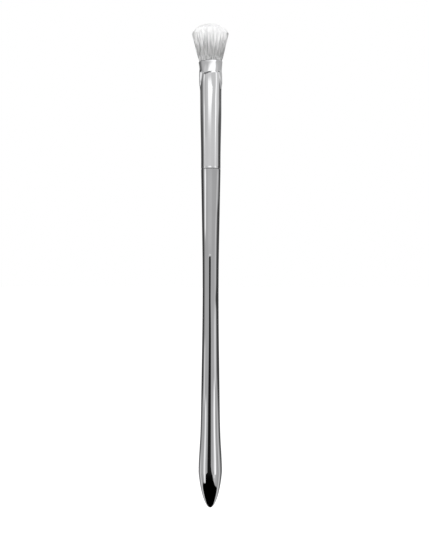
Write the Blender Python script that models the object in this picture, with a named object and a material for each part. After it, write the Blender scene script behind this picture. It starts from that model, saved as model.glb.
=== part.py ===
# A packing brush for eye colour: a slim plated handle, a plated ferrule glued on
# its tenon, and a flared tuft of bristles bonded in the ferrule's crimped mouth.
# Metres, +Z up along the brush and +X across its wide side. The origin is the
# tip of the butt, on the axis.
import math
import random

import bmesh
import bpy
import numpy as np
from mathutils import Vector
from mathutils.geometry import delaunay_2d_cdt

# Clearance between pieces that touch on the real brush
FIT_GAP = 0.0003

# Handle, with heights above the tip of the butt
HANDLE_LENGTH = 0.1248
BUTT_HEIGHT = 0.0134
BUTT_DIAMETER = 0.0089
WAIST_HEIGHT = 0.0830
WAIST_DIAMETER = 0.0061
SEAM_DIAMETER = 0.0074
SEAM_CHAMFER = 0.00015

# Tenon of the handle, and the glue between it and the ferrule
TENON_LENGTH = 0.0200
TENON_CHAMFER = 0.0005
ADHESIVE_THICKNESS = 0.0003

# Ferrule, with heights above its lower end
FERRULE_LENGTH = 0.0393
FERRULE_WALL = 0.00035
BARREL_LENGTH = 0.0240
BARREL_DIAMETER = 0.0080
SHOULDER_HEIGHT = 0.0338
SHOULDER_WIDTH = 0.00855
SHOULDER_DEPTH = 0.0072
CRIMP_HEIGHT = 0.0352
CRIMP_DEPTH = 0.00035
MOUTH_WIDTH = 0.0087
MOUTH_DEPTH = 0.0073
MOUTH_CHAMFER = 0.0001

# Bonded root of the tuft, measured down from the ferrule's mouth
ROOT_SINK = 0.0004
ROOT_THICKNESS = 0.0020

# Bristles, measured up from the ferrule's mouth
TUFT_LENGTH = 0.0136
TUFT_WIDTH = 0.01295
TUFT_DEPTH = 0.0092
DOME_HEIGHT = 0.0038
BULGE_HEIGHT = 0.0015
BULGE_WIDTH = 0.0093
BULGE_DEPTH = 0.0078
TIP_LENGTH = 0.0018
TIP_SCATTER = 0.0005
STRAND_ROOT_DIAMETER = 0.00020
STRAND_BULGE_DIAMETER = 0.00028
STRAND_TIP_DIAMETER = 0.00034

# Stations of the handle between the butt and the waist, and between the waist and
# the seam: the share of the way up, and the share of the swell beyond the waist
LOWER_STATION_SHARES = (
    (0.00, 1.00),
    (0.17, 0.60),
    (0.33, 0.38),
    (0.50, 0.26),
    (0.67, 0.145),
    (0.84, 0.05),
    (1.00, 0.00),
)
UPPER_STATION_SHARES = (
    (0.26, 0.13),
    (0.50, 0.40),
    (0.75, 0.69),
    (1.00, 1.00),
)

# How full the butt's ogive is, from a cone at 1, and how far the tuft's dome
# reaches round the ball that it is cut from
BUTT_FULLNESS = 1.35
DOME_REACH_SHARE = 0.87

# Counts
ROUND_SIDES = 32
BUTT_RINGS = 8
BODY_RINGS = 20
BARREL_RINGS = 7
OVAL_RINGS = 6
CRIMP_RINGS = 3
COLLAR_RINGS = 4
PLUG_RINGS = 10
BRISTLE_RINGS = 11
STRANDS_IN_FIRST_RING = 6
STRAND_SIDES = 3
SCATTER_SEED = 12
GOLDEN_ANGLE = math.pi * (3 - math.sqrt(5))
SHARP_ANGLE = math.radians(30)


def clear_scene():
    for old in list(bpy.data.objects):
        bpy.data.objects.remove(old, do_unlink=True)


def finish(name, colour, roughness, metallic):
    """A material with one Principled BSDF."""
    material = bpy.data.materials.new(name)
    material.use_nodes = True
    shader = material.node_tree.nodes["Principled BSDF"]
    shader.inputs["Base Color"].default_value = (*colour, 1)
    shader.inputs["Roughness"].default_value = roughness
    shader.inputs["Metallic"].default_value = metallic
    return material


def place(name, mesh, material, height, parent):
    """Makes an object of the bmesh and stands it on the axis at this height."""
    bmesh.ops.recalc_face_normals(mesh, faces=mesh.faces)
    data = bpy.data.meshes.new(name)
    mesh.to_mesh(data)
    mesh.free()
    data.materials.append(material)
    data.shade_smooth()
    data.set_sharp_from_angle(angle=SHARP_ANGLE)
    piece = bpy.data.objects.new(name, data)
    bpy.context.scene.collection.objects.link(piece)
    piece.parent = parent
    piece.location.z = height
    return piece


def blend(start, end, share):
    return start + (end - start) * share


def ease(share):
    """Goes from 0 to 1, level at both ends."""
    return share * share * (3 - 2 * share)


def steps(start, end, count):
    """Evenly spaced values from start to end, both included."""
    return [blend(start, end, step / count) for step in range(count + 1)]


def oval(mesh, half_width, half_depth, height):
    """A level loop of vertices about the axis."""
    turns = [math.tau * side / ROUND_SIDES for side in range(ROUND_SIDES)]
    return [
        mesh.verts.new((half_width * math.cos(turn), half_depth * math.sin(turn), height))
        for turn in turns
    ]


def skin(mesh, loops):
    """Joins each loop to the next with quads."""
    for lower, upper in zip(loops, loops[1:]):
        for side, corner in enumerate(lower):
            after = (side + 1) % len(lower)
            mesh.faces.new((corner, lower[after], upper[after], upper[side]))


def handle_stations():
    """Heights and radii that the handle's outline runs through, from butt to seam."""
    butt, waist, seam = BUTT_DIAMETER / 2, WAIST_DIAMETER / 2, SEAM_DIAMETER / 2
    lower = [
        (blend(BUTT_HEIGHT, WAIST_HEIGHT, way), blend(waist, butt, swell))
        for way, swell in LOWER_STATION_SHARES
    ]
    upper = [
        (blend(WAIST_HEIGHT, HANDLE_LENGTH, way), blend(waist, seam, swell))
        for way, swell in UPPER_STATION_SHARES
    ]
    heights, radii = zip(*lower, *upper)
    return np.array(heights), np.array(radii)


def even_slopes(heights, radii):
    """Slopes at the stations of the smoothest cubic curve that leaves the butt upright."""
    spans = np.diff(heights)
    rises = np.diff(radii) / spans
    last = len(heights) - 1
    balance = np.zeros((last + 1, last + 1))
    wanted = np.zeros(last + 1)
    balance[0, 0] = 1
    for station in range(1, last):
        before, after = 1 / spans[station - 1], 1 / spans[station]
        balance[station, station - 1 : station + 2] = before, 2 * (before + after), after
        wanted[station] = 3 * (rises[station - 1] * before + rises[station] * after)
    balance[last, last - 1 :] = 1, 2
    wanted[last] = 3 * rises[-1]
    return np.linalg.solve(balance, wanted)


def body_radius(height, heights, radii, slopes):
    """Radius of the handle between the butt and the seam."""
    below = int(np.clip(np.searchsorted(heights, height) - 1, 0, len(heights) - 2))
    span = heights[below + 1] - heights[below]
    way = (height - heights[below]) / span
    level = blend(radii[below], radii[below + 1], ease(way))
    leave = slopes[below] * span * way * (1 - way) ** 2
    arrive = slopes[below + 1] * span * way**2 * (1 - way)
    return level + leave - arrive


def butt_radius(height):
    """Radius of the ogive between the tip and the butt's widest place."""
    left = 1 - height / BUTT_HEIGHT
    return BUTT_DIAMETER / 2 * math.sqrt(1 - left**BUTT_FULLNESS)


def tenon_radius():
    bore = SEAM_DIAMETER / 2 - FERRULE_WALL
    return bore - FIT_GAP - ADHESIVE_THICKNESS - FIT_GAP


def handle_outline():
    """Heights and radii up the handle from the first ring above the tip to the tenon's end."""
    outline = []
    for ring in range(1, BUTT_RINGS):
        height = BUTT_HEIGHT * (ring / BUTT_RINGS) ** 2
        outline.append((height, butt_radius(height)))
    stations = handle_stations()
    slopes = even_slopes(*stations)
    for height in steps(BUTT_HEIGHT, HANDLE_LENGTH - SEAM_CHAMFER, BODY_RINGS):
        outline.append((height, body_radius(height, *stations, slopes)))
    tenon_end = HANDLE_LENGTH + TENON_LENGTH
    outline.append((HANDLE_LENGTH, SEAM_DIAMETER / 2 - SEAM_CHAMFER))
    outline.append((HANDLE_LENGTH, tenon_radius()))
    outline.append((tenon_end - TENON_CHAMFER, tenon_radius()))
    outline.append((tenon_end, tenon_radius() - TENON_CHAMFER))
    return outline


def make_handle(material, parent):
    mesh = bmesh.new()
    tip = mesh.verts.new((0, 0, 0))
    loops = [oval(mesh, radius, radius, height) for height, radius in handle_outline()]
    for side, corner in enumerate(loops[0]):
        mesh.faces.new((tip, loops[0][(side + 1) % ROUND_SIDES], corner))
    skin(mesh, loops)
    mesh.faces.new(loops[-1])
    return place("handle", mesh, material, 0, parent)


def ferrule_halves(height):
    """Outer half-width and half-depth of the ferrule at this height above its lower end."""
    seam, barrel = SEAM_DIAMETER / 2, BARREL_DIAMETER / 2
    shoulder = SHOULDER_WIDTH / 2, SHOULDER_DEPTH / 2
    crimp = [half - CRIMP_DEPTH for half in shoulder]
    mouth = MOUTH_WIDTH / 2, MOUTH_DEPTH / 2
    if height <= BARREL_LENGTH:
        way = ease(height / BARREL_LENGTH)
        return blend(seam, barrel, way), blend(seam, barrel, way)
    if height <= SHOULDER_HEIGHT:
        way = ease((height - BARREL_LENGTH) / (SHOULDER_HEIGHT - BARREL_LENGTH))
        return blend(barrel, shoulder[0], way), blend(barrel, shoulder[1], way)
    if height <= CRIMP_HEIGHT:
        way = ease((height - SHOULDER_HEIGHT) / (CRIMP_HEIGHT - SHOULDER_HEIGHT))
        return blend(shoulder[0], crimp[0], way), blend(shoulder[1], crimp[1], way)
    left = (FERRULE_LENGTH - height) / (FERRULE_LENGTH - CRIMP_HEIGHT)
    return blend(mouth[0], crimp[0], left**2), blend(mouth[1], crimp[1], left**2)


def ferrule_heights(start, end):
    """Heights from start to end at which the ferrule's wall needs a ring."""
    places = steps(0, BARREL_LENGTH, BARREL_RINGS)
    places += steps(BARREL_LENGTH, SHOULDER_HEIGHT, OVAL_RINGS)[1:]
    places += steps(SHOULDER_HEIGHT, CRIMP_HEIGHT, CRIMP_RINGS)[1:]
    places += steps(CRIMP_HEIGHT, FERRULE_LENGTH, COLLAR_RINGS)[1:]
    return [start, *(height for height in places if start < height < end), end]


def ferrule_loop(mesh, height, inset, foot=0):
    """A loop this far inside the ferrule's outer face, its heights counted from foot."""
    half_width, half_depth = ferrule_halves(height)
    return oval(mesh, half_width - inset, half_depth - inset, height - foot)


def make_ferrule(material, parent):
    mesh = bmesh.new()
    rim = FERRULE_LENGTH - MOUTH_CHAMFER
    outer = [ferrule_loop(mesh, height, 0) for height in ferrule_heights(0, rim)]
    outer.append(ferrule_loop(mesh, FERRULE_LENGTH, MOUTH_CHAMFER))
    inner = [
        ferrule_loop(mesh, height, FERRULE_WALL)
        for height in reversed(ferrule_heights(0, FERRULE_LENGTH))
    ]
    skin(mesh, [*outer, *inner, outer[0]])
    return place("ferrule", mesh, material, ferrule_foot(), parent)


def ferrule_foot():
    """Height of the ferrule's lower end."""
    return HANDLE_LENGTH + FIT_GAP


def make_ferrule_adhesive(material, parent):
    """The sleeve of set glue between the tenon and the ferrule."""
    mesh = bmesh.new()
    end = TENON_LENGTH - FIT_GAP
    heights = ferrule_heights(0, end)
    outer = [ferrule_loop(mesh, height, FERRULE_WALL + FIT_GAP) for height in heights]
    bore = tenon_radius() + FIT_GAP
    inner = [oval(mesh, bore, bore, height) for height in (end, 0)]
    skin(mesh, [*outer, *inner, outer[0]])
    return place("ferrule_adhesive", mesh, material, ferrule_foot(), parent)


def root_end():
    """Top of the bonded root, above the ferrule's lower end."""
    return FERRULE_LENGTH - ROOT_SINK


def make_hair_bonding(material, parent):
    """The plug of set glue under the bristles, which the crimp locks in the ferrule."""
    mesh = bmesh.new()
    foot = TENON_LENGTH + FIT_GAP
    end = root_end() - ROOT_THICKNESS - FIT_GAP
    loops = [
        ferrule_loop(mesh, height, FERRULE_WALL + FIT_GAP, foot)
        for height in steps(foot, end, PLUG_RINGS)
    ]
    skin(mesh, loops)
    mesh.faces.new(reversed(loops[0]))
    mesh.faces.new(loops[-1])
    return place("hair_bonding", mesh, material, ferrule_foot() + foot, parent)


def strand_places():
    """The place of each strand in a round tuft of radius 1, and its turn about the axis."""
    places = [(0, 0)]
    for ring in range(1, BRISTLE_RINGS + 1):
        count = STRANDS_IN_FIRST_RING * ring
        first = GOLDEN_ANGLE * (BRISTLE_RINGS - ring)
        for strand in range(count):
            places.append((ring / BRISTLE_RINGS, first + math.tau * strand / count))
    return places


def tuft_halves(height):
    """Half-width and half-depth of the tuft at this height above the ferrule's mouth."""
    full_height = TUFT_LENGTH - DOME_HEIGHT
    way = (height - BULGE_HEIGHT) / (full_height - BULGE_HEIGHT)
    way = min(way, 1)
    half_width = blend(BULGE_WIDTH, TUFT_WIDTH, way) / 2
    return half_width, blend(BULGE_DEPTH, TUFT_DEPTH, way) / 2


def strand_end(reach):
    """Height above the mouth of the dome over a strand this share of the way out."""
    drop = 1 - math.sqrt(1 - (reach * DOME_REACH_SHARE) ** 2)
    whole_drop = 1 - math.sqrt(1 - DOME_REACH_SHARE**2)
    return TUFT_LENGTH - DOME_HEIGHT * drop / whole_drop


def strand_corners(reach, turn, halves, diameter, height):
    """Corners of a strand's section, with one corner pointing out from the axis."""
    centre_x = reach * (halves[0] - diameter / 2) * math.cos(turn)
    centre_y = reach * (halves[1] - diameter / 2) * math.sin(turn)
    corners = []
    for side in range(STRAND_SIDES):
        facing = turn + math.tau * side / STRAND_SIDES
        out_x = diameter / 2 * math.cos(facing)
        out_y = diameter / 2 * math.sin(facing)
        corners.append(Vector((centre_x + out_x, centre_y + out_y, height)))
    return corners


def pierced_top(mesh, rim, bases):
    """Fills the loop rim with triangles, leaving the base of each strand open."""
    corners = [*rim, *(corner for base in bases for corner in base)]
    widest = max(corner.co.x for corner in rim)
    flat = [corner.co.xy / widest for corner in corners]
    outlines = [list(range(len(rim)))]
    for base in range(len(bases)):
        first = len(rim) + base * STRAND_SIDES
        outlines.append(list(range(first, first + STRAND_SIDES)))
    inside_constraints = 1
    exact = 0
    result = delaunay_2d_cdt(flat, [], outlines, inside_constraints, exact)
    triangles, sources, owners = result[2], result[3], result[5]
    for triangle, owner in zip(triangles, owners):
        if len(owner) == 1:
            mesh.faces.new([corners[sources[corner][0]] for corner in triangle])


def grow_strand(mesh, base, reach, turn, scatter):
    """Builds one strand on its base: past the mouth, out along the flare, and to a point."""
    end = strand_end(reach) - scatter
    shaft_end = end - TIP_LENGTH
    bulge = strand_corners(
        reach, turn, tuft_halves(BULGE_HEIGHT), STRAND_BULGE_DIAMETER, BULGE_HEIGHT + ROOT_SINK
    )
    shaft = strand_corners(
        reach, turn, tuft_halves(shaft_end), STRAND_TIP_DIAMETER, shaft_end + ROOT_SINK
    )
    loops = [base, *([mesh.verts.new(corner) for corner in loop] for loop in (bulge, shaft))]
    skin(mesh, loops)
    half_width, half_depth = tuft_halves(end)
    out_x = reach * half_width * math.cos(turn)
    out_y = reach * half_depth * math.sin(turn)
    tip = mesh.verts.new((out_x, out_y, end + ROOT_SINK))
    for side, corner in enumerate(loops[-1]):
        mesh.faces.new((corner, loops[-1][(side + 1) % STRAND_SIDES], tip))


def make_bristle_tuft(material, parent):
    """Strands in rings, fused to the slice of bonded root that holds them."""
    mesh = bmesh.new()
    scatter = random.Random(SCATTER_SEED)
    inset = FERRULE_WALL + FIT_GAP
    foot = root_end()
    lower, upper = (
        ferrule_loop(mesh, foot - depth, inset, foot) for depth in (ROOT_THICKNESS, 0)
    )
    skin(mesh, [lower, upper])
    mesh.faces.new(reversed(lower))
    root_halves = [half - inset - STRAND_ROOT_DIAMETER / 2 for half in ferrule_halves(foot)]
    places = strand_places()
    bases = [
        [
            mesh.verts.new(corner)
            for corner in strand_corners(reach, turn, root_halves, STRAND_ROOT_DIAMETER, 0)
        ]
        for reach, turn in places
    ]
    pierced_top(mesh, upper, bases)
    for base, (reach, turn) in zip(bases, places):
        drop = scatter.uniform(0, TIP_SCATTER) if 0 < reach < 1 else 0
        grow_strand(mesh, base, reach, turn, drop)
    return place("bristle_tuft", mesh, material, ferrule_foot() + foot, parent)


def main():
    clear_scene()
    brush = bpy.data.objects.new("brush_axis", None)
    bpy.context.scene.collection.objects.link(brush)
    plated = finish("bright_plating", (0.72, 0.72, 0.73), 0.08, 1)
    plated_ferrule = finish("ferrule_plating", (0.78, 0.78, 0.79), 0.14, 1)
    glue = finish("set_glue", (0.62, 0.52, 0.34), 0.35, 0)
    hair_glue = finish("hair_glue", (0.55, 0.50, 0.42), 0.40, 0)
    bristle = finish("white_bristle", (0.86, 0.86, 0.85), 0.45, 0)
    make_handle(plated, brush)
    make_ferrule(plated_ferrule, brush)
    make_ferrule_adhesive(glue, brush)
    make_hair_bonding(hair_glue, brush)
    make_bristle_tuft(bristle, brush)


main()
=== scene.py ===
# Looks of the packing brush: mirror-bright handle, crimped ferrule and a tuft of
# fine white filaments, in a small light tent. Metres, in the frame of the CAD.
import math
import random

import bpy
import numpy as np
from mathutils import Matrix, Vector


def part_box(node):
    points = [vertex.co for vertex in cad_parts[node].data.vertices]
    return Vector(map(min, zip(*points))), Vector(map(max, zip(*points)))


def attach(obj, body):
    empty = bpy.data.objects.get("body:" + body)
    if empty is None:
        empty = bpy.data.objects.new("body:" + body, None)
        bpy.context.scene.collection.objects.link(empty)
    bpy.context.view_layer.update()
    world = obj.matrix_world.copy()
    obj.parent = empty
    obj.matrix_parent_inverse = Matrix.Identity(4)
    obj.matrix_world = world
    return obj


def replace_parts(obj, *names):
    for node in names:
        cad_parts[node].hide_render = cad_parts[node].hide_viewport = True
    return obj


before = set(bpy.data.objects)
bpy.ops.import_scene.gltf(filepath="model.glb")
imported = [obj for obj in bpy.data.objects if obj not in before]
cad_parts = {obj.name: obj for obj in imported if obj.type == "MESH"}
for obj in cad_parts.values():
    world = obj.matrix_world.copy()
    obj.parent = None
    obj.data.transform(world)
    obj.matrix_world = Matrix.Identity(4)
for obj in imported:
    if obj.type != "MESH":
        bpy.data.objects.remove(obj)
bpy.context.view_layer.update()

# Places read from the frame
FERRULE_LOW, FERRULE_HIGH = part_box("ferrule")
HANDLE_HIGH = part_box("handle")[1]
TUFT_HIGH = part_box("bristle_tuft")[1]
FOOT = FERRULE_LOW.z
MOUTH = FERRULE_HIGH.z
FERRULE_LENGTH = MOUTH - FOOT
TENON_END = HANDLE_HIGH.z
TUFT_LENGTH = TUFT_HIGH.z - MOUTH

# Handle
SEAM_DROP = 0.00077
SEAM_GAP = 0.00015
SEAM_HEIGHT = FOOT - SEAM_DROP
BUTT_HEIGHT = 0.0134
BUTT_RADIUS = HANDLE_HIGH.x
BUTT_FULLNESS = 1.35
WAIST_HEIGHT = 0.0830
WAIST_RADIUS = 0.00302
SEAM_RADIUS = 0.00366
SEAM_ROUNDING = 0.00001
SEAM_EDGE = 0.00006
TENON_RADIUS = 0.00245
TENON_CHAMFER = 0.0005
HANDLE_SIDES = 128
BUTT_RINGS = 44
BODY_RINGS = 150
SEAM_RINGS = 6
HANDLE_SHARP = math.radians(35)

# Stations of the handle between the butt and the waist, and between the waist and the seam:
# the share of the way up, and the share of the swell beyond the waist
LOWER_STATION_SHARES = (
    (0.00, 1.00),
    (0.17, 0.60),
    (0.33, 0.365),
    (0.50, 0.235),
    (0.67, 0.105),
    (0.84, 0.022),
    (1.00, 0.00),
)
UPPER_STATION_SHARES = (
    (0.26, 0.13),
    (0.50, 0.40),
    (0.75, 0.69),
    (1.00, 1.00),
)

# Ferrule, with heights above its lower end in the CAD. On the brush its foot is a little
# lower, because the seam is.
FERRULE_WALL = 0.00035
FOOT_ROUNDING = 0.00008
SWELL_START = 0.0015
SWELL_LENGTH = 0.0215
BARREL_RADIUS = 0.00400
LIP_FOOT = -0.00075
LIP_LENGTH = 0.0010
LIP_SWELL = 0.00004
BEAD_START = 0.0285
BEAD_SWELL = 0.00028
FRONT_SWELL = 0.00018
FRONT_SWELL_START = 0.0230
FRONT_SWELL_LENGTH = 0.0095
FRONT_SWELL_PLACE = 0.62
FRONT_SWELL_WIDTHS = (0.35, 0.80)
EAR_START = 0.0283
EAR_FULL = 0.0308
EAR_SHRINK_START = 0.0326
EAR_HALF_WIDTHS = (0.00396, 0.00423)
EAR_SHRINK = 0.00006
EAR_TURNS = (math.radians(35), math.radians(22))
CREASE_START = 0.0262
CREASE_TURNS = (math.radians(80), math.radians(44))
RIGHT_CREASE_SHIFT = math.radians(8)
RIGHT_EAR_LEAN = 0.012
RIGHT_EAR_FLAT = 0.09
RIGHT_EAR_CURL = 0.010
CREASE_ROUNDING = 0.00005
EAR_ROUNDING = 0.00020
EAR_FADE = 0.20
EARLESS_SHARE = 0.9
SMALLEST_SINE = 0.001
GROOVE_FOOT = 0.0341
GROOVE_TOP = 0.0347
GROOVE_BEND = 0.0010
BEND_START = 0.0310
BEND_SHARPNESS = 4
COLLAR_FOOT_HALVES = (0.00410, 0.00424)
COLLAR_MOUTH_HALVES = (0.00437, 0.00378)
COLLAR_CURVE = 1.6
RIM_TILT = 0.00035
RIM_DROP = 0.00025
LEAN_START = 0.018
TOP_LEAN = 0.00015
RIM_ROUNDING = 0.00032
LIP_END = 0.0008
FERRULE_SIDES = 256
FOOT_RINGS = 5
LIP_RINGS = 10
BARREL_RINGS = 60
EAR_RINGS = 46
GROOVE_RINGS = 12
COLLAR_RINGS = 22
RIM_RINGS = 8
INNER_STEP = 3
FERRULE_SHARP = math.radians(50)

# Marks along the crimp's groove: the cosine of the turn, which is -1 at the left and 1 at the
# right, how far the groove dips there, and how deep it is
GROOVE_MARKS = (
    (-1.0, 0.0, 0.0),
    (-0.66, 0.00020, 0.0),
    (-0.56, 0.00050, 0.00018),
    (-0.48, 0.00072, 0.00030),
    (-0.38, 0.00062, 0.00026),
    (-0.25, 0.00042, 0.00020),
    (-0.12, 0.00032, 0.00016),
    (0.0, 0.00022, 0.00010),
    (0.12, 0.00012, 0.00004),
    (0.25, 0.0, 0.0),
    (1.0, 0.0, 0.0),
)
GROOVE_PLACES, GROOVE_DIPS, GROOVE_DEPTHS = zip(*GROOVE_MARKS)

# Tuft
STRANDS = 5200
CLUMPS = 220
FILAMENT_RADIUS = 0.000056
TIP_RADIUS = 0.000038
DOME_HEIGHT = 0.0038
DOME_REACH_SHARE = 0.87
BULGE_HEIGHT = 0.0015
BULGE_HALVES = (0.00475, 0.00395)
TUFT_HALVES = (TUFT_HIGH.x + 0.00030, TUFT_HIGH.y)
ROOT_DEPTH = 0.0020
CORE_SHARE = 0.80
CORE_DROP = 0.0003
CORE_SIDES = 64
CORE_RINGS = 24
CORE_DOME_RINGS = 16
CORE_TOP_SHARE = 0.05
TUFT_LEAN = 0.00022
LEAN_CURVE = 1.5
STRAND_SIDES = 3
TUFT_SEED = 31
STRAND_JITTER = 0.006
CLUMP_JITTER = 0.030
STRAY = 0.006
GATHERS = (0.65, 1.05)
CLUMP_LENGTH_SPREAD = 0.00005
STRAND_DROP = 0.00004
STRAND_LENGTH_SPREAD = 0.00006
TIP_CLEARANCE = 0.00002
RADIUS_SHARES = (0.85, 1.1)
GOLDEN_ANGLE = math.pi * (3 - math.sqrt(5))

# Shares of a strand's length at which it has rings, for strands further out than OUTER_REACH
# and for those further in
OUTER_REACH = 0.72
OUTER_SHARES = (0, 0.12, 0.3, 0.52, 0.78, 0.94)
INNER_SHARES = (0, 0.5, 0.9)

# How far strands are drawn to the middle of their clump: heights above the mouth and shares
CLUMP_PULLS = (
    (0, 0.12),
    (0.001, 0.24),
    (0.003, 0.32),
    (0.006, 0.26),
    (0.009, 0.12),
    (0.013, 0.02),
)

# Camera, as measured on the photograph
FOCAL_PIXELS = 850
IMAGE_HEIGHT = 536
CAMERA_PLACE = (0.001414, -0.3126, 0.0881)
CAMERA_ROLL = math.radians(0.10)
SENSOR = 36

# Noises: how many spots a metre, how these are stretched along each axis, where less than 1 is
# longer, and the detail in them
HAZE_NOISE = (260, (1, 1, 0.35), 3.0)
LINE_NOISE = (5200, (1, 1, 0.012), 2.0)
SCRATCH_NOISE = (2600, (1, 0.4, 0.5), 4.0)
MOTTLE_NOISE = (2400, (1, 1, 0.1), 2.0)
SHADE_STREAK_NOISE = (2600, (1, 1, 0.03), 1.0)
SHEEN_NOISE = (1500, (1, 1, 0.2), 2.0)
GRAIN_NOISE = (9000, (1, 1, 0.2), 2.0)
CLOUD_NOISE = (900, (1, 1, 1), 4.0)
WET_NOISE = (2500, (1, 1, 1), 2.0)

# Plating: the spread of its roughness and tone in the haze, what scratches add to the roughness,
# and the relief of lines and scratches
HAZE_SPREAD = (0.7, 1.3)
HAZE_TONES = (0.96, 1.03)
SCRATCH_ROUGHNESS = 0.006
LINE_RELIEF = 0.6
SCRATCH_RELIEF = 0.2
PLATING_BUMP = 0.010
BUMP_DEPTH = 0.00001

# Finishes of the plating: name, colour, roughness, and how much the drawn lines add to it
BRIGHT_PLATING = ("bright_plating", (0.72, 0.72, 0.73), 0.018, 0.008)
DRAWN_PLATING = ("drawn_plating", (0.78, 0.78, 0.79), 0.032, 0.022)

# Glues: name, pale colour and deep colour
AMBER_GLUE = ("amber_glue", (0.66, 0.55, 0.36), (0.50, 0.38, 0.20))
MILKY_GLUE = ("milky_glue", (0.60, 0.55, 0.47), (0.46, 0.41, 0.33))
GLUE_ROUGHNESS = (0.25, 0.45)
BUBBLES_A_METRE = 3000.0
BUBBLE_BUMP = 0.3
BUBBLE_DEPTH = 0.00005

# Tones of the filaments from the mouth to the dome, with painted shade: darker towards the root,
# where the strands shade each other, and at the dome's end, for its shaded outline. Shares of the
# way and tones
FILAMENT_TONES_AND_SHADE = (
    (0.0, 0.60),
    (0.08, 0.54),
    (0.16, 0.51),
    (0.28, 0.53),
    (0.36, 0.64),
    (0.45, 0.78),
    (0.555, 0.90),
    (0.66, 0.98),
    (0.80, 0.98),
    (0.90, 0.88),
    (1.0, 0.48),
)

# How far each strand, and mottle on it, moves these tones up or down the way
STRAND_SHIFT = 0.04
MOTTLE_SHIFT = 0.05

# Painted shade and light of the gaps between clumps and of the clumps, as dark and pale streak
# lines: the part of their noise that is used, their tones, and between which shares of the way
# they fade to the share given last
SHADE_STREAK_RANGE = (0.38, 0.62)
SHADE_STREAK_TONES = (0.64, 1.13)
SHADE_STREAK_FADE = (0.42, 0.68)
SHADE_STREAK_LEFT = 0.35

# Painted shade at the tuft's rim: distances to the side between which it darkens to the tone on
# the next line
RIM_SHADE_REACH = (0.0055, 0.0063)
RIM_SHADE_TONE = 0.58

# Sheen and grain of the filaments
HAIR_ROUGHNESS = (0.38, 0.55)
HAIR_BUMP = 0.2

# Painted shade in the crimp's fold, which darkens the plating's colour where the groove is in
# shade: place, reach and tone. Each spot is whole out to the share of its reach given on the next
# line.
SHADE_HEART = 0.15
CRIMP_PAINTED_SHADE = (
    ((-0.0022, -0.0036, FOOT + 0.0338), (0.0006, 0.002, 0.0006), 0.45),
    ((-0.0015, -0.0040, FOOT + 0.0340), (0.0014, 0.002, 0.0004), 0.62),
)

# Studio
FLOOR_HEIGHT = -0.06
FLOOR_REACH = 6
FLOOR_TONES = (0.80, 0.84)
FLOOR_NOISE = (40, (1, 1, 1), 4.0)
FLOOR_GLOW = 0.60
ROOM_LIGHT = 0.80
SIDE_DIMMING = 0.45
LAMP_PLACE = (-0.04, -0.58, 0.38)
LAMP_SIZE = 0.26
LAMP_POWER = 3.2
TENT_RADIUS = 0.31
TENT_SIDES = 720
TENT_BOTTOM = -1.2
TENT_TOP = 0.9
TENT_TONE = 0.49

# Bands of the tent and how many rings each has: they are finest at the top of the stand
TENT_BANDS = (
    (TENT_BOTTOM, -0.4, 20),
    (-0.4, 0.086, 194),
    (0.086, 0.093, 70),
    (0.093, 0.4, 123),
    (0.4, TENT_TOP, 20),
)

# Where the dark flags at the left and the right of the camera start: heights and azimuths
LEFT_FLAG_EDGE = (
    (-0.16, 120),
    (-0.03, 106),
    (-0.005, 95),
    (0.01, 84),
    (0.05, 79),
    (0.155, 79),
    (0.165, 76),
    (0.185, 74),
    (0.212, 77),
)
RIGHT_FLAG_EDGE = (
    (-0.16, 122),
    (-0.11, 106),
    (-0.03, 100),
    (-0.005, 92),
    (0.02, 76),
    (0.06, 74),
    (0.067, 58),
    (0.075, 72),
    (0.12, 76),
    (0.132, 92),
    (0.15, 96),
    (0.158, 82),
    (0.18, 76),
    (0.20, 84),
    (0.215, 90),
)

# Sides of the stand in front: heights and azimuths
STAND_LEFT = (
    (-0.155, -52),
    (-0.118, -48),
    (-0.088, -44),
    (-0.060, -28),
    (-0.004, -28),
    (0.043, -22.5),
)
STAND_RIGHT = (
    (-0.183, 61),
    (-0.177, 48),
    (-0.166, 43),
    (-0.153, 31.5),
    (-0.120, 24),
    (-0.060, 14),
    (-0.030, 6),
    (0.043, 6),
    (0.055, 4),
    (0.067, 0.5),
    (0.087, 2),
)

# The black table's top edge, as azimuths and heights, and its ends, as heights and azimuths
TABLE_TOP = (
    (-72, -0.150),
    (-62, -0.163),
    (-50, -0.160),
    (45, -0.172),
    (58, -0.180),
    (85, -0.174),
)
TABLE_LEFT = (
    (-0.45, -150),
    (-0.30, -112),
    (-0.26, -106),
    (-0.22, -102),
    (-0.162, -101),
    (-0.150, -93),
)
TABLE_RIGHT = (
    (-0.45, 140),
    (-0.30, 104),
    (-0.28, 98),
    (-0.20, 93),
    (-0.174, 90),
)


def blend(start, end, share):
    return start + (end - start) * share


def ease(share):
    """Goes from 0 to 1, level at both ends. Takes numbers and arrays."""
    share = np.clip(share, 0, 1)
    return share * share * (3 - 2 * share)


def steps(start, end, count):
    """Evenly spaced values from start to end, both included."""
    return [blend(start, end, step / count) for step in range(count + 1)]


def make_piece(name, points, faces, material, smooth=True):
    """A mesh object made of points and faces."""
    data = bpy.data.meshes.new(name)
    data.from_pydata(points, [], faces)
    data.update()
    if smooth:
        data.shade_smooth()
    data.materials.append(material)
    piece = bpy.data.objects.new(name, data)
    bpy.context.scene.collection.objects.link(piece)
    return piece


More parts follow.
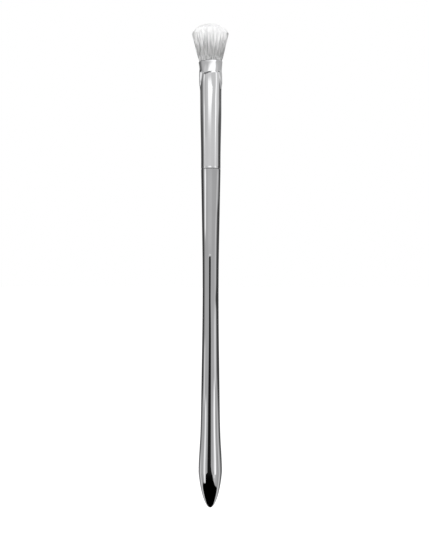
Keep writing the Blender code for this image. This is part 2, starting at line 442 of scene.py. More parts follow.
def loft(rings, closed_start=None, closed_end=None, looped=False):
    """Points and faces of a skin over rings of points, with a tip or a cap at its ends."""
    sides = len(rings[0])
    points = [point for ring in rings for point in ring]
    faces = []
    joins = list(zip(range(len(rings)), range(1, len(rings))))
    if looped:
        joins.append((len(rings) - 1, 0))
    for lower, upper in joins:
        for side in range(sides):
            after = (side + 1) % sides
            faces.append((
                lower * sides + side,
                lower * sides + after,
                upper * sides + after,
                upper * sides + side,
            ))
    if closed_start is not None:
        tip = len(points)
        points.append(closed_start)
        faces.extend((tip, (side + 1) % sides, side) for side in range(sides))
    if closed_end is not None:
        tip = len(points)
        first = (len(rings) - 1) * sides
        points.append(closed_end)
        faces.extend((tip, first + side, first + (side + 1) % sides) for side in range(sides))
    return points, faces


# Handle


def handle_stations():
    """Heights and radii that the handle's outline runs through, from butt to seam."""
    lower = [
        (blend(BUTT_HEIGHT, WAIST_HEIGHT, way), blend(WAIST_RADIUS, BUTT_RADIUS, swell))
        for way, swell in LOWER_STATION_SHARES
    ]
    upper = [
        (blend(WAIST_HEIGHT, SEAM_HEIGHT, way), blend(WAIST_RADIUS, SEAM_RADIUS, swell))
        for way, swell in UPPER_STATION_SHARES
    ]
    heights, radii = zip(*lower, *upper)
    return np.array(heights), np.array(radii)


def even_slopes(heights, radii):
    """Slopes at the stations of the smoothest cubic curve that leaves the butt upright."""
    spans = np.diff(heights)
    rises = np.diff(radii) / spans
    last = len(heights) - 1
    balance = np.zeros((last + 1, last + 1))
    wanted = np.zeros(last + 1)
    balance[0, 0] = 1
    for station in range(1, last):
        before, after = 1 / spans[station - 1], 1 / spans[station]
        balance[station, station - 1 : station + 2] = before, 2 * (before + after), after
        wanted[station] = 3 * (rises[station - 1] * before + rises[station] * after)
    balance[last, last - 1 :] = 1, 2
    wanted[last] = 3 * rises[-1]
    return np.linalg.solve(balance, wanted)


def body_radius(height, heights, radii, slopes):
    """Radius of the handle between the butt and the seam."""
    below = int(np.clip(np.searchsorted(heights, height) - 1, 0, len(heights) - 2))
    span = heights[below + 1] - heights[below]
    way = (height - heights[below]) / span
    level = blend(radii[below], radii[below + 1], ease(way))
    leave = slopes[below] * span * way * (1 - way) ** 2
    arrive = slopes[below + 1] * span * way**2 * (1 - way)
    return level + leave - arrive


def butt_radius(height):
    """Radius of the ogive between the tip and the butt's widest place."""
    left = 1 - height / BUTT_HEIGHT
    return BUTT_RADIUS * math.sqrt(1 - left**BUTT_FULLNESS)


def handle_outline():
    """Heights and radii from the first ring above the tip to the tenon's end."""
    outline = []
    for ring in range(1, BUTT_RINGS):
        height = BUTT_HEIGHT * (ring / BUTT_RINGS) ** 2
        outline.append((height, butt_radius(height)))
    stations = handle_stations()
    slopes = even_slopes(*stations)
    body = steps(BUTT_HEIGHT, SEAM_HEIGHT - SEAM_EDGE, BODY_RINGS)
    for height in [*body, SEAM_HEIGHT - SEAM_ROUNDING]:
        outline.append((height, body_radius(height, *stations, slopes)))
    for turn in steps(0, math.pi / 2, SEAM_RINGS)[1:]:
        drop = SEAM_ROUNDING * (1 - math.sin(turn))
        inset = SEAM_ROUNDING * (1 - math.cos(turn))
        outline.append((SEAM_HEIGHT - drop, SEAM_RADIUS - inset))
    outline.append((SEAM_HEIGHT, TENON_RADIUS))
    outline.append((TENON_END - TENON_CHAMFER, TENON_RADIUS))
    outline.append((TENON_END, TENON_RADIUS - TENON_CHAMFER))
    return outline


def circle(radius, height, sides):
    """A level ring of points about the axis."""
    turns = [math.tau * side / sides for side in range(sides)]
    return [(radius * math.cos(turn), radius * math.sin(turn), height) for turn in turns]


def make_handle(material):
    rings = [circle(radius, height, HANDLE_SIDES) for height, radius in handle_outline()]
    points, faces = loft(rings, closed_start=(0, 0, 0), closed_end=(0, 0, TENON_END))
    piece = make_piece("chrome_handle", points, faces, material)
    piece.data.set_sharp_from_angle(angle=HANDLE_SHARP)
    return piece


# Ferrule


def soft_high(first, second, soft):
    """The larger of two values, with the step between them rounded off."""
    gap = first - second
    return (first + second + np.sqrt(gap * gap + soft * soft)) / 2


def soft_low(first, second, soft):
    """The smaller of two values, with the step between them rounded off."""
    gap = first - second
    return (first + second - np.sqrt(gap * gap + soft * soft)) / 2


def oval_reach(halves, turn):
    """Distance from the axis to an oval, in the direction turn from its long side."""
    return 1 / np.hypot(np.cos(turn) / halves[0], np.sin(turn) / halves[1])


def barrel_radius(height, turn):
    """Radius of the round tube. It has a lip at its foot and swells upwards, most of all at
    the front and back under the crimp."""
    lip = LIP_SWELL * ease(1 - (height - LIP_FOOT) / LIP_LENGTH)
    bead = BEAD_SWELL * max((height - BEAD_START) / (GROOVE_FOOT - BEAD_START), 0) ** 2
    swell = ease((height - SWELL_START) / SWELL_LENGTH)
    return blend(SEAM_RADIUS, BARREL_RADIUS, swell) + lip + bead * np.sin(turn) ** 2


def front_swell(height, turn):
    """How far the crimp has pressed the barrel out at the front, a little to the right."""
    aside = np.cos(turn) - FRONT_SWELL_PLACE
    near = np.exp(-((aside / np.where(aside < 0, *FRONT_SWELL_WIDTHS)) ** 2))
    grown = ease((height - FRONT_SWELL_START) / FRONT_SWELL_LENGTH)
    in_front = ease(0.5 - 2 * np.sin(turn))
    return FRONT_SWELL * grown * near * in_front


def ear_half_width(height):
    """How far the ears reach out to the sides."""
    grown = ease((height - EAR_START) / (EAR_FULL - EAR_START))
    shrunk = ease((height - EAR_SHRINK_START) / (GROOVE_FOOT - EAR_SHRINK_START))
    return blend(*EAR_HALF_WIDTHS, grown) - EAR_SHRINK * shrunk


def ear_reach(height, turn):
    """Distance from the axis to the flat ears that the crimp presses out at both sides."""
    way = np.clip((height - CREASE_START) / (GROOVE_FOOT - CREASE_START), 0, 1)
    on_right = np.where(np.cos(turn) > 0, 1.0, 0.0)
    crease = blend(*CREASE_TURNS, way) - on_right * RIGHT_CREASE_SHIFT
    ear_turn = np.where(np.cos(turn) < 0, *EAR_TURNS)
    from_front = np.arcsin(np.abs(np.cos(turn)))
    crease_turn = crease - math.pi / 2
    crease_reach = barrel_radius(height, crease_turn)
    crease_reach = crease_reach + on_right * front_swell(height, crease_turn)
    facet = crease_reach * np.cos(crease - ear_turn) / np.cos(from_front - ear_turn)
    facet = facet - on_right * RIGHT_EAR_LEAN * (height - EAR_START)
    past_flat = np.maximum(from_front - crease - RIGHT_EAR_FLAT, 0)
    facet = facet - on_right * RIGHT_EAR_CURL * past_flat**2
    side = ear_half_width(height) / np.maximum(np.sin(from_front), SMALLEST_SINE)
    there = ease((from_front - ear_turn + EAR_FADE) / EAR_FADE)
    return blend(EARLESS_SHARE * crease_reach, soft_low(facet, side, EAR_ROUNDING), there)


def collar_reach(height, turn):
    """Distance from the axis to the collar over the crimp, which flattens towards the mouth."""
    way = (height - GROOVE_TOP) / (FERRULE_LENGTH - GROOVE_TOP)
    curved = 1 - (1 - way) ** COLLAR_CURVE
    half_width = blend(COLLAR_FOOT_HALVES[0], COLLAR_MOUTH_HALVES[0], way)
    half_depth = blend(COLLAR_FOOT_HALVES[1], COLLAR_MOUTH_HALVES[1], curved)
    return oval_reach((half_width, half_depth), turn)


def ferrule_reach(height, turn):
    """Distance from the axis to the ferrule's outer face."""
    if height <= EAR_START:
        return barrel_radius(height, turn) + front_swell(height, turn)
    if height >= GROOVE_TOP:
        return collar_reach(height, turn)
    low = min(height, GROOVE_FOOT)
    barrel = barrel_radius(low, turn) + front_swell(low, turn)
    eared = soft_high(barrel, ear_reach(low, turn), CREASE_ROUNDING)
    if height <= GROOVE_FOOT:
        return eared
    way = (height - GROOVE_FOOT) / (GROOVE_TOP - GROOVE_FOOT)
    notch = np.interp(np.cos(turn), GROOVE_PLACES, GROOVE_DEPTHS) * math.sin(math.pi * way)
    return blend(eared, collar_reach(GROOVE_TOP, turn), way) - notch


def groove_bend(height, turn):
    """How far a ring rises here: up at the sides of the crimp, and down in the dip at its left
    and with the tilt of the mouth."""
    rising = ease((height - BEND_START) / (GROOVE_FOOT - BEND_START))
    above = (height - GROOVE_TOP) / (FERRULE_LENGTH - GROOVE_TOP)
    sides = GROOVE_BEND * np.cos(turn) ** BEND_SHARPNESS
    dip = np.interp(np.cos(turn), GROOVE_PLACES, GROOVE_DIPS)
    bend = (sides - dip) * rising * ease(1 - above)
    return bend - ease(above) * (RIM_DROP + RIM_TILT * (1 - np.cos(turn)) / 2)


def ferrule_ring(height, inset):
    """A ring of points round the ferrule, this far inside its outer face."""
    turns = np.arange(FERRULE_SIDES) * math.tau / FERRULE_SIDES
    reach = ferrule_reach(height, turns) - inset
    level = FOOT + height + groove_bend(height, turns)
    lean = TOP_LEAN * ease((height - LEAN_START) / (FERRULE_LENGTH - LEAN_START))
    rows = np.stack([reach * np.cos(turns) - lean, reach * np.sin(turns), level], 1)
    return [tuple(row) for row in rows]


def wall_heights():
    """Heights of the rings on the ferrule's outer face, between its rounded foot and rim."""
    heights = steps(SEAM_GAP - SEAM_DROP + FOOT_ROUNDING, LIP_END, LIP_RINGS)[1:]
    heights += steps(LIP_END, EAR_START, BARREL_RINGS)[1:]
    heights += steps(EAR_START, GROOVE_FOOT, EAR_RINGS)[1:]
    heights += steps(GROOVE_FOOT, GROOVE_TOP, GROOVE_RINGS)[1:]
    heights += steps(GROOVE_TOP, FERRULE_LENGTH - RIM_ROUNDING, COLLAR_RINGS)[1:]
    return heights


def make_ferrule(material):
    foot = SEAM_GAP - SEAM_DROP
    rings = []
    for turn in steps(0, math.pi / 2, FOOT_RINGS):
        inset = FOOT_ROUNDING * (1 - math.sin(turn))
        rings.append(ferrule_ring(foot + FOOT_ROUNDING * (1 - math.cos(turn)), inset))
    heights = wall_heights()
    rings += [ferrule_ring(height, 0) for height in heights]
    for turn in steps(0, math.pi, RIM_RINGS)[1:]:
        rise = FERRULE_LENGTH - RIM_ROUNDING * (1 - math.sin(turn))
        rings.append(ferrule_ring(rise, FERRULE_WALL / 2 * (1 - math.cos(turn))))
    inner_end = FERRULE_LENGTH - 2 * RIM_ROUNDING
    inner = [height for height in reversed(heights) if height < inner_end]
    rings += [ferrule_ring(height, FERRULE_WALL) for height in inner[::INNER_STEP]]
    rings.append(ferrule_ring(foot, FERRULE_WALL))
    points, faces = loft(rings, looped=True)
    piece = make_piece("crimped_ferrule", points, faces, material)
    piece.data.set_sharp_from_angle(angle=FERRULE_SHARP)
    return piece


# Tuft


def strand_end(reach):
    """Height above the mouth of the dome over a strand this share of the way out."""
    drop = 1 - math.sqrt(1 - (reach * DOME_REACH_SHARE) ** 2)
    whole_drop = 1 - math.sqrt(1 - DOME_REACH_SHARE**2)
    return TUFT_LENGTH - DOME_HEIGHT * drop / whole_drop


def tuft_halves(height):
    """Half-width and half-depth of the tuft at this height above the ferrule's mouth."""
    full_height = TUFT_LENGTH - DOME_HEIGHT
    mouth = [half - FERRULE_WALL - FILAMENT_RADIUS for half in COLLAR_MOUTH_HALVES]
    if height <= 0:
        return mouth
    if height < BULGE_HEIGHT:
        way = math.sin(math.pi / 2 * height / BULGE_HEIGHT)
        return [blend(low, high, way) for low, high in zip(mouth, BULGE_HALVES)]
    way = min((height - BULGE_HEIGHT) / (full_height - BULGE_HEIGHT), 1)
    return [blend(low, high, way) for low, high in zip(BULGE_HALVES, TUFT_HALVES)]


def tuft_shift(height):
    """How far the tuft is moved along X at this height above the mouth. It leans to the left."""
    return -TOP_LEAN - TUFT_LEAN * (max(height, 0) / TUFT_LENGTH) ** LEAN_CURVE


def sunflower(count, chance, jitter):
    """Even places in a disc of radius 1, each moved a little."""
    places = []
    for spot in range(count):
        reach = math.sqrt((spot + 0.5) / count)
        turn = spot * GOLDEN_ANGLE
        x = reach * math.cos(turn) + chance.gauss(0, jitter)
        y = reach * math.sin(turn) + chance.gauss(0, jitter)
        far = max(math.hypot(x, y), 1)
        places.append((x / far, y / far))
    return np.array(places)


def clump_pull(height):
    """How far strands are drawn to the middle of their clump at this height above the mouth."""
    return float(np.interp(height, *zip(*CLUMP_PULLS)))


def core_ring(reach, height):
    """A ring of points round the core, this share of the way out to the tuft's side."""
    half_width, half_depth = tuft_halves(height)
    shift = tuft_shift(height)
    points = []
    for side in range(CORE_SIDES):
        turn = math.tau * side / CORE_SIDES
        x = reach * half_width * math.cos(turn) + shift
        y = reach * half_depth * math.sin(turn)
        points.append((x, y, MOUTH + height))
    return points


def tuft_core():
    """Points and faces of a smooth body that fills the gaps behind the outer strands."""
    shoulder = strand_end(CORE_SHARE) - CORE_DROP
    rings = [core_ring(CORE_SHARE, height) for height in steps(-ROOT_DEPTH, shoulder, CORE_RINGS)]
    for reach in steps(CORE_SHARE, CORE_TOP_SHARE, CORE_DOME_RINGS)[1:]:
        rings.append(core_ring(reach, strand_end(reach) - CORE_DROP))
    root = (-TOP_LEAN, 0, MOUTH - ROOT_DEPTH)
    top = (tuft_shift(TUFT_LENGTH), 0, MOUTH + TUFT_LENGTH - CORE_DROP)
    return loft(rings, closed_start=root, closed_end=top)


def grow_clumps(chance):
    """For each clump of strands its middle, its lean, how tightly it gathers, and how much
    longer it is."""
    middles = sunflower(CLUMPS, chance, CLUMP_JITTER)
    leans = [np.array((chance.gauss(0, STRAY), chance.gauss(0, STRAY))) for _ in middles]
    gathers = [chance.uniform(*GATHERS) for _ in middles]
    extras = [chance.gauss(0, CLUMP_LENGTH_SPREAD) for _ in middles]
    return list(zip(middles, leans, gathers, extras))


def within_disc(place):
    """The place, or where it is outside the disc of radius 1, the disc's edge before it."""
    return place / max(np.hypot(*place), 1)


def strand_ring(place, height, radius, spin):
    """The corners of a strand at a place in the tuft, which is a disc of radius 1 here."""
    half_width, half_depth = tuft_halves(height)
    points = []
    for side in range(STRAND_SIDES):
        turn = spin + math.tau * side / STRAND_SIDES
        x = place[0] * half_width + radius * math.cos(turn) + tuft_shift(height)
        y = place[1] * half_depth + radius * math.sin(turn)
        points.append((x, y, MOUTH + height))
    return points


def grow_strand(spot, clump, chance):
    """Rings of corners up one strand, from its root to its tip."""
    middle, clump_lean, gather, extra = clump
    reach = min(float(np.hypot(*spot)), 1)
    end = strand_end(reach) + extra + chance.gauss(-STRAND_DROP, STRAND_LENGTH_SPREAD)
    end = min(end, TUFT_LENGTH - TIP_CLEARANCE)
    lean = clump_lean + np.array((chance.gauss(0, STRAY), chance.gauss(0, STRAY)))
    spin = chance.uniform(0, math.tau)
    radius = FILAMENT_RADIUS * chance.uniform(*RADIUS_SHARES)
    rings = []
    for share in OUTER_SHARES if reach > OUTER_REACH else INNER_SHARES:
        height = blend(-ROOT_DEPTH, end, share)
        up = max(height, 0)
        place = blend(spot, middle, clump_pull(up) * gather) + lean * (up / TUFT_LENGTH)
        rings.append(strand_ring(within_disc(place), height, radius, spin))
    place = within_disc(spot + lean * (end / TUFT_LENGTH))
    rings.append(strand_ring(place, end, TIP_RADIUS, spin))
    return rings


def strand_faces(first, rings):
    """Faces of a strand with this many rings, whose points start at the number first."""
    faces = []
    for ring in range(rings - 1):
        low = first + STRAND_SIDES * ring
        high = low + STRAND_SIDES
        for side in range(STRAND_SIDES):
            after = (side + 1) % STRAND_SIDES
            faces.append((low + side, low + after, high + after, high + side))
    top = first + STRAND_SIDES * (rings - 1)
    faces.append(tuple(range(top, top + STRAND_SIDES)))
    faces.append(tuple(reversed(range(first, first + STRAND_SIDES))))
    return faces


def make_tuft(material):
    chance = random.Random(TUFT_SEED)
    spots = sunflower(STRANDS, chance, STRAND_JITTER)
    clumps = grow_clumps(chance)
    middles = np.array([clump[0] for clump in clumps])
    nearest = ((spots[:, None] - middles[None]) ** 2).sum(2).argmin(1)
    points, faces = tuft_core()
    for spot, number in zip(spots, nearest):
        rings = grow_strand(spot, clumps[number], chance)
        faces += strand_faces(len(points), len(rings))
        points += [corner for ring in rings for corner in ring]
    return make_piece("filament_tuft", points, faces, material)


# Materials


def new_material(name):
    """A material, its node tree and its Principled BSDF."""
    material = bpy.data.materials.new(name)
    material.use_nodes = True
    return material, material.node_tree, material.node_tree.nodes["Principled BSDF"]


def add(tree, kind, settings=(), **inputs):
    """A node of this kind, with its settings, and values or links for its inputs. These are
    given by name, or as i0, i1 and so on by number."""
    node = tree.nodes.new("ShaderNode" + kind)
    for key, value in dict(settings).items():
        setattr(node, key, value)
    for key, value in inputs.items():
        numbered = key[0] == "i" and key[1:].isdigit()
        socket = node.inputs[int(key[1:]) if numbered else key]
        if isinstance(value, bpy.types.NodeSocket):
            tree.links.new(value, socket)
        else:
            socket.default_value = value
    return node


def noise(tree, place, scale, stretch, detail):
    """Noise from 0 to 1 over the object's own coordinates."""
    mapping = add(tree, "Mapping", Vector=place, Scale=[scale * part for part in stretch])
    texture = add(tree, "TexNoise", Vector=mapping.outputs["Vector"], Scale=1.0, Detail=detail)
    return texture.outputs["Fac"]


def fit(tree, value, start, end, low, high):
    """Maps start to end onto low to high, and holds there beyond them."""
    node = add(tree, "MapRange", i0=value, i1=start, i2=end, i3=low, i4=high)
    return node.outputs["Result"]


def span(tree, value, low, high):
    """Maps a noise onto low to high. Its middle half takes up the whole span."""
    return fit(tree, value, 0.25, 0.75, low, high)


def maths(tree, operation, first, second=0.0):
    return add(tree, "Math", {"operation": operation}, i0=first, i1=second).outputs["Value"]


def multiply(tree, first, second, factor=1.0, clamp=False):
    """The product of two colours, faded in by factor."""
    settings = {"data_type": "RGBA", "blend_type": "MULTIPLY", "clamp_result": clamp}
    return add(tree, "Mix", settings, i0=factor, i6=first, i7=second).outputs[2]


def set_relief(tree, shader, relief, strength, depth):
    """Raises the surface by a height from 0 to 1."""
    bump = add(tree, "Bump", Height=relief, Strength=strength, Distance=depth)
    tree.links.new(bump.outputs["Normal"], shader.inputs["Normal"])


def painted_shade_spot(tree, place, middle, reach, tone):
    """Painted shade: goes from this tone at a place to 1 at the edge of an ellipsoid round it."""
    offset = add(tree, "VectorMath", {"operation": "SUBTRACT"}, i0=place, i1=middle)
    offset = offset.outputs["Vector"]
    share = add(tree, "VectorMath", {"operation": "DIVIDE"}, i0=offset, i1=reach).outputs["Vector"]
    far = add(tree, "VectorMath", {"operation": "LENGTH"}, i0=share).outputs["Value"]
    settings = {"interpolation_type": "SMOOTHSTEP"}
    fade = add(tree, "MapRange", settings, i0=far, i1=SHADE_HEART, i2=1.0, i3=tone, i4=1.0)
    return fade.outputs["Result"]


def plating(name, colour, roughness, drawn, shaded_spots=()):
    """Bright plating: haze in patches, fine scratches and lines drawn along the piece, and painted
    shade that darkens its colour in the given spots.
    """
    material, tree, shader = new_material(name)
    place = add(tree, "TexCoord").outputs["Object"]
    haze = noise(tree, place, *HAZE_NOISE)
    lines = noise(tree, place, *LINE_NOISE)
    scratches = noise(tree, place, *SCRATCH_NOISE)
    rough = span(tree, haze, *(roughness * part for part in HAZE_SPREAD))
    rough = maths(tree, "ADD", rough, span(tree, lines, 0, drawn))
    rough = maths(tree, "ADD", rough, span(tree, scratches, 0, SCRATCH_ROUGHNESS))
    tree.links.new(rough, shader.inputs["Roughness"])
    tone = span(tree, haze, *HAZE_TONES)
    # Painted shade: each spot darkens the plating's colour.
    for spot in shaded_spots:
        tone = maths(tree, "MULTIPLY", tone, painted_shade_spot(tree, place, *spot))
    shade = multiply(tree, (*colour, 1), tone)
    tree.links.new(shade, shader.inputs["Base Color"])
    shader.inputs["Metallic"].default_value = 1
    lines = maths(tree, "MULTIPLY", lines, LINE_RELIEF)
    scratches = maths(tree, "MULTIPLY", scratches, SCRATCH_RELIEF)
    relief = maths(tree, "ADD", lines, scratches)
    set_relief(tree, shader, relief, PLATING_BUMP, BUMP_DEPTH)
    return material


def filament_tone_and_shade(tree, place, way):
    """Tone of the filaments up the tuft, with painted shade towards the root and at the dome's
    end, and each strand a little different.
    """
    island = add(tree, "NewGeometry").outputs["Random Per Island"]
    own = fit(tree, island, 0.0, 1.0, -STRAND_SHIFT, STRAND_SHIFT)
    mottle = span(tree, noise(tree, place, *MOTTLE_NOISE), -MOTTLE_SHIFT, MOTTLE_SHIFT)
    ramp = add(tree, "ValToRGB", Fac=maths(tree, "ADD", maths(tree, "ADD", way, own), mottle))
    elements = ramp.color_ramp.elements
    for position, tone in FILAMENT_TONES_AND_SHADE:
        elements.new(position).color = (tone, tone, tone, 1)
    elements.remove(elements[0])
    elements.remove(elements[-1])
    return ramp.outputs["Color"]


def filament(name):
    """White synthetic filament with painted shade and light: dark and pale streak lines, and
    darker at the root, the rim and the tips.
    """
    material, tree, shader = new_material(name)
    place = add(tree, "TexCoord").outputs["Object"]
    axes = add(tree, "SeparateXYZ", Vector=place)
    way = fit(tree, axes.outputs["Z"], MOUTH, MOUTH + TUFT_LENGTH, 0.0, 1.0)
    tone = filament_tone_and_shade(tree, place, way)
    # Painted shade and light: dark and pale streak lines for shaded gaps and lit clumps, fading up
    # the tuft.
    shade_streaks = fit(tree, noise(tree, place, *SHADE_STREAK_NOISE), *SHADE_STREAK_RANGE, *SHADE_STREAK_TONES)
    fading = fit(tree, way, *SHADE_STREAK_FADE, 1.0, SHADE_STREAK_LEFT)
    shade_streaked = multiply(tree, tone, shade_streaks, fading, clamp=True)
    # Painted shade: darker at the tuft's sides.
    rim = fit(tree, maths(tree, "ABSOLUTE", axes.outputs["X"]), *RIM_SHADE_REACH, 1.0, RIM_SHADE_TONE)
    shade = multiply(tree, shade_streaked, rim)
    tree.links.new(shade, shader.inputs["Base Color"])
    rough = span(tree, noise(tree, place, *SHEEN_NOISE), *HAIR_ROUGHNESS)
    tree.links.new(rough, shader.inputs["Roughness"])
    set_relief(tree, shader, noise(tree, place, *GRAIN_NOISE), HAIR_BUMP, BUMP_DEPTH)
    return material


def glue(name, pale, deep):
    """Set glue, clouded and with small bubbles."""
    material, tree, shader = new_material(name)
    place = add(tree, "TexCoord").outputs["Object"]
    cloud = add(tree, "ValToRGB", Fac=noise(tree, place, *CLOUD_NOISE))
    cloud.color_ramp.elements[0].color = (*deep, 1)
    cloud.color_ramp.elements[1].color = (*pale, 1)
    tree.links.new(cloud.outputs["Color"], shader.inputs["Base Color"])
    rough = span(tree, noise(tree, place, *WET_NOISE), *GLUE_ROUGHNESS)
    tree.links.new(rough, shader.inputs["Roughness"])
    bubbles = add(tree, "TexVoronoi", Vector=place, Scale=BUBBLES_A_METRE).outputs["Distance"]
    set_relief(tree, shader, bubbles, BUBBLE_BUMP, BUBBLE_DEPTH)
    return material


# Studio


def along(value, *stops):
    """What stops, which are pairs of a place and what holds there, give at this value."""
    places, held = zip(*stops)
    return np.interp(value, places, held)


def between(value, start, end, soft):
    """1 from start to end, with a soft edge centred on each."""
    return ease((value - start) / soft + 0.5) * ease((end - value) / soft + 0.5)


# The functions of the tent's layers take azimuths in degrees from the camera's side, positive to
# the right, and heights in metres. Each layer is how far it covers what is under it, from 0 to 1,
# and how bright it is, 1 being white.


def wall_layers(azimuth, height):
    """The tent's cloth, paler above the brush's middle."""
    yield ease((height - 0.149) / 0.008), 0.68
    yield between(azimuth, -34, 14, 18) * between(height, 0.09, 0.152, 0.02), 0.57
    yield between(azimuth, -64, -48, 8) * ease((height - 0.165) / 0.01), 0.56


def left_layers(azimuth, height):
    """Lit seams of the tent left of the camera, and the greys between them."""
    start = along(height, (0.105, -85), (0.140, -79))
    end = along(height, (0.105, -67), (0.140, -58))
    yield between(azimuth, start, end, 5) * between(height, 0.103, 0.152, 0.012), 1.18
    yield between(azimuth, -79, -69, 4) * between(height, 0.166, 0.205, 0.012), 1.05
    yield between(azimuth, -90, -73, 6) * between(height, -0.002, 0.040, 0.012), 0.86
    yield between(azimuth, -67, -48, 6) * between(height, -0.185, 0.0, 0.014), 1.10
    middle = along(height, (-0.20, -116), (-0.15, -112), (-0.10, -106))
    yield between(azimuth, middle - 9, middle + 9, 6) * between(height, -0.30, -0.03, 0.03), 0.72
    yield between(azimuth, -96, -86, 5) * between(height, -0.19, -0.08, 0.02), 0.36


def right_layers(azimuth, height):
    """Lit seams of the tent right of the camera, and the greys between them."""
    pale = along(height, (0.163, 0.92), (0.167, 1.05), (0.180, 1.32))
    yield between(azimuth, 46, 57, 3) * between(height, 0.153, 0.232, 0.008), pale
    yield between(azimuth, 58, 70, 5) * between(height, 0.19, 0.232, 0.010), 0.86
    middle = along(height, (0.02, 64), (0.06, 68), (0.10, 66), (0.147, 86))
    pale = along(height, (0.055, 0.92), (0.070, 0.70))
    yield between(azimuth, middle - 8, middle + 8, 6) * between(height, 0.012, 0.150, 0.01), pale
    yield between(azimuth, 46, 60, 8) * between(height, 0.005, 0.060, 0.02), 0.78
    yield between(azimuth, 30, 40, 6) * between(height, -0.05, 0.0, 0.015), 0.74
    yield between(azimuth, 39.5, 56, 5) * between(height, -0.095, 0.012, 0.015), 1.35
    yield between(azimuth, 30, 52, 8) * between(height, -0.135, -0.09, 0.015), 0.78
    yield between(azimuth, 43, 53, 5) * between(height, -0.165, -0.13, 0.01), 0.68
    middle = along(height, (-0.20, 115), (-0.17, 105), (-0.02, 90))
    yield between(azimuth, middle - 8, middle + 8, 6) * between(height, -0.30, -0.01, 0.02), 0.70
    middle = along(height, (-0.20, 84), (-0.15, 86), (-0.02, 77))
    yield between(azimuth, middle - 6, middle + 6, 6) * between(height, -0.215, -0.01, 0.02), 0.36
    yield between(azimuth, 49, 62, 4) * between(height, -0.203, -0.182, 0.006), 0.90


def flag_layers(azimuth, height):
    """Dark flags at both sides, the white sweep behind and the pale rim under the flags."""
    aside = np.abs(azimuth)
    low = ease((height + 0.20) / 0.03)
    dark = along(height, (0.16, 0.06), (0.21, 0.15))
    yield ease((-azimuth - along(height, *LEFT_FLAG_EDGE)) / 28) * low, dark
    soft = along(height, (0.165, 24), (0.195, 16))
    yield ease((azimuth - along(height, *RIGHT_FLAG_EDGE)) / soft) * low, dark
    yield ease((-0.19 - height) / 0.015) * ease((aside - 95) / 10), 0.62
    left_end = along(height, (-0.03, 138), (0, 146))
    right_end = along(height, (-0.03, 138), (0, 146), (0.15, 146), (0.20, 140))
    yield ease((aside - np.where(azimuth > 0, right_end, left_end)) / 10), 1.0


def window_layers(azimuth, height):
    """The softbox above the camera, which narrows downwards, and the ceiling round it."""
    right = along(height, (0.19, 4), (0.206, 8), (0.215, 16), (0.225, 24))
    yield between(azimuth, -28, right, 10) * ease((height - 0.156) / 0.056), 1.35
    start = along(azimuth, (-90, 0.222), (-60, 0.232), (55, 0.232), (85, 0.219))
    soft = along(azimuth, (-90, 0.012), (-60, 0.020), (55, 0.020), (85, 0.006))
    high = ease((height - start) / soft)
    yield high, along(height, (0.225, 0.48), (0.26, 0.54), (0.37, 0.70))
    yield high * ease((-80 - azimuth) / 42), 0.12
    yield high * between(azimuth, -70, -40, 14) * ease((height - 0.266) / 0.014), 0.69
    yield high * between(azimuth, 50, 88, 10) * ease((height - 0.262) / 0.016), 0.67
    left = along(height, (0.255, -30), (0.280, 6), (0.318, -22), (0.335, -40))
    soft = along(height, (0.255, 45), (0.280, 75), (0.318, 55), (0.335, 38))
    right = along(height, (0.250, 53), (0.267, 45), (0.284, 48), (0.296, 52))
    yield high * ease((azimuth - left) / soft + 0.5) * ease((right - azimuth) / 6 + 0.5), 1.35
    yield ease((height - along(azimuth, (-60, 0.34), (-42, 0.46))) / 0.06), 0.10


def stand_layers(azimuth, height):
    """The black stand in front of the brush, with a lit cap, and the black table that it is on."""
    yield between(azimuth, -25, 3, 5) * between(height, 0.0892, 0.0901, 0.0003), 0.90
    left, right = along(height, *STAND_LEFT), along(height, *STAND_RIGHT)
    dark = along(height, (-0.155, 0.0), (-0.040, 0.012))
    yield between(azimuth, left, right, 4) * ease((0.0892 - height) / 0.0004 + 0.5), dark
    left, right = along(height, *TABLE_LEFT), along(height, *TABLE_RIGHT)
    top = along(azimuth, *TABLE_TOP)
    yield between(azimuth, left, right, 4) * ease((top - height) / 0.006 + 0.5), 0.0
    yield ease((-0.42 - height) / 0.08), 0.0


def tent_levels(azimuth, height):
    """How bright the tent is in each direction from the brush, 0 being the camera's side."""
    level = np.full(azimuth.shape, TENT_TONE)
    sides = (wall_layers, left_layers, right_layers)
    for layers in (*sides, flag_layers, window_layers, stand_layers):
        for cover, bright in layers(azimuth, height):
            level = blend(level, bright, cover)
    return level


def make_tent():
    """A drum round the brush that only glossy rays see. It holds what the plating reflects."""
    material = bpy.data.materials.new("tent_light")
    material.use_nodes = True
    tree = material.node_tree
    tree.nodes.clear()
    level = add(tree, "Attribute", {"attribute_name": "level"}).outputs["Fac"]
    glow = add(tree, "Emission", Strength=level, Color=(1, 1, 1, 1))
    out = add(tree, "OutputMaterial")
    tree.links.new(glow.outputs["Emission"], out.inputs["Surface"])
    heights = [TENT_BOTTOM]
    for start, end, count in TENT_BANDS:
        heights += steps(start, end, count)[1:]
    rings = [circle(TENT_RADIUS, height, TENT_SIDES) for height in heights]
    points, faces = loft(rings, closed_start=(0, 0, TENT_BOTTOM), closed_end=(0, 0, TENT_TOP))
    tent = make_piece("studio_tent", points, faces, material)
    places = np.array(points)
    azimuth = np.degrees(np.arctan2(places[:, 0], -places[:, 1]))
    attribute = tent.data.attributes.new("level", "FLOAT", "POINT")
    attribute.data.foreach_set("value", tent_levels(azimuth, places[:, 2]).astype(np.float32))
    tent.visible_camera = False
    tent.visible_diffuse = False
    tent.visible_shadow = False
    tent.visible_transmission = False
    tent.visible_volume_scatter = False


def seen_directly(tree):
    """1 for a ray from the camera, or one that metal or glass sends on, and otherwise 0."""
    path = add(tree, "LightPath")
    seen = maths(tree, "MAXIMUM", path.outputs["Is Camera Ray"], path.outputs["Is Glossy Ray"])
    return maths(tree, "MAXIMUM", seen, path.outputs["Is Transmission Ray"])


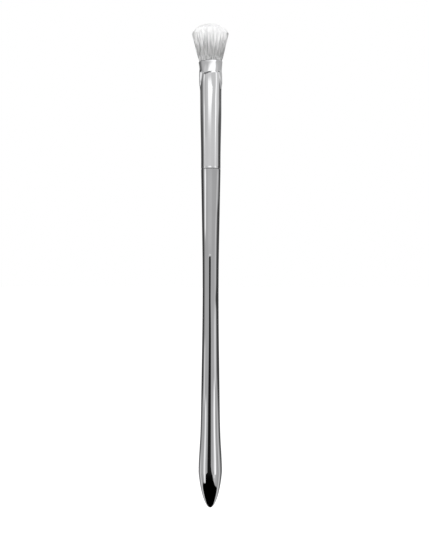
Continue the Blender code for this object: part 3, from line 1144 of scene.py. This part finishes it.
def make_world():
    """White where it is seen, and a little less bright as light, most of all from the sides."""
    world = bpy.data.worlds.new("studio")
    world.use_nodes = True
    bpy.context.scene.world = world
    tree = world.node_tree
    tree.nodes.clear()
    direction = add(tree, "TexCoord").outputs["Generated"]
    aside = add(tree, "SeparateXYZ", Vector=direction).outputs["X"]
    dimming = maths(tree, "MULTIPLY", maths(tree, "MULTIPLY", aside, aside), SIDE_DIMMING)
    light = maths(tree, "SUBTRACT", ROOM_LIGHT, dimming)
    room = add(tree, "Background", Color=(1, 1, 1, 1), Strength=light)
    white = add(tree, "Background", Color=(1, 1, 1, 1), Strength=1.0)
    mix = add(tree, "MixShader", i0=seen_directly(tree), i1=room.outputs[0], i2=white.outputs[0])
    out = add(tree, "OutputWorld")
    tree.links.new(mix.outputs[0], out.inputs["Surface"])


def make_floor():
    """A pale matt floor that glows to white where it is seen."""
    material = bpy.data.materials.new("white_sweep")
    material.use_nodes = True
    tree = material.node_tree
    tree.nodes.clear()
    place = add(tree, "TexCoord").outputs["Object"]
    pale = add(tree, "ValToRGB", Fac=noise(tree, place, *FLOOR_NOISE))
    for element, tone in zip(pale.color_ramp.elements, FLOOR_TONES):
        element.color = (tone, tone, tone, 1)
    matt = add(tree, "BsdfDiffuse", Color=pale.outputs["Color"])
    strength = maths(tree, "MULTIPLY", seen_directly(tree), FLOOR_GLOW)
    glow = add(tree, "Emission", Color=(1, 1, 1, 1), Strength=strength)
    both = add(tree, "AddShader", i0=matt.outputs[0], i1=glow.outputs[0])
    out = add(tree, "OutputMaterial")
    tree.links.new(both.outputs[0], out.inputs["Surface"])
    signs = ((-1, -1), (1, -1), (1, 1), (-1, 1))
    corners = [(FLOOR_REACH * x, FLOOR_REACH * y, FLOOR_HEIGHT) for x, y in signs]
    floor = make_piece("floor", corners, [(0, 1, 2, 3)], material, smooth=False)
    floor.visible_glossy = False


def make_lamp():
    """A round soft lamp above the camera, aimed at the ferrule's mouth."""
    light = bpy.data.lights.new("key_softbox", "AREA")
    light.shape = "DISK"
    light.size = LAMP_SIZE
    light.energy = LAMP_POWER
    lamp = bpy.data.objects.new("key_softbox", light)
    lamp.location = LAMP_PLACE
    lamp.rotation_mode = "QUATERNION"
    aim = Vector((0, 0, MOUTH)) - Vector(LAMP_PLACE)
    lamp.rotation_quaternion = aim.to_track_quat("-Z", "Y")
    lamp.visible_glossy = False
    lamp.visible_camera = False
    bpy.context.scene.collection.objects.link(lamp)


def make_camera():
    data = bpy.data.cameras.new("camera")
    data.sensor_width = SENSOR
    data.lens = SENSOR * FOCAL_PIXELS / IMAGE_HEIGHT
    camera = bpy.data.objects.new("camera", data)
    camera.location = CAMERA_PLACE
    camera.rotation_euler = (math.radians(90), -CAMERA_ROLL, 0)
    bpy.context.scene.collection.objects.link(camera)
    bpy.context.scene.camera = camera


def main():
    bpy.context.scene.view_settings.view_transform = "Standard"
    make_camera()
    make_world()
    make_tent()
    make_floor()
    make_lamp()
    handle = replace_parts(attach(make_handle(plating(*BRIGHT_PLATING)), "root"), "handle")
    # The drawn plating's colour has painted shade in the crimp's fold.
    drawn = plating(*DRAWN_PLATING, CRIMP_PAINTED_SHADE)
    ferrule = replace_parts(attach(make_ferrule(drawn), "root"), "ferrule")
    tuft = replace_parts(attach(make_tuft(filament("white_filament")), "root"), "bristle_tuft")
    for name, finish in (("ferrule_adhesive", AMBER_GLUE), ("hair_bonding", MILKY_GLUE)):
        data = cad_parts[name].data
        data.materials.clear()
        data.materials.append(glue(*finish))


main()
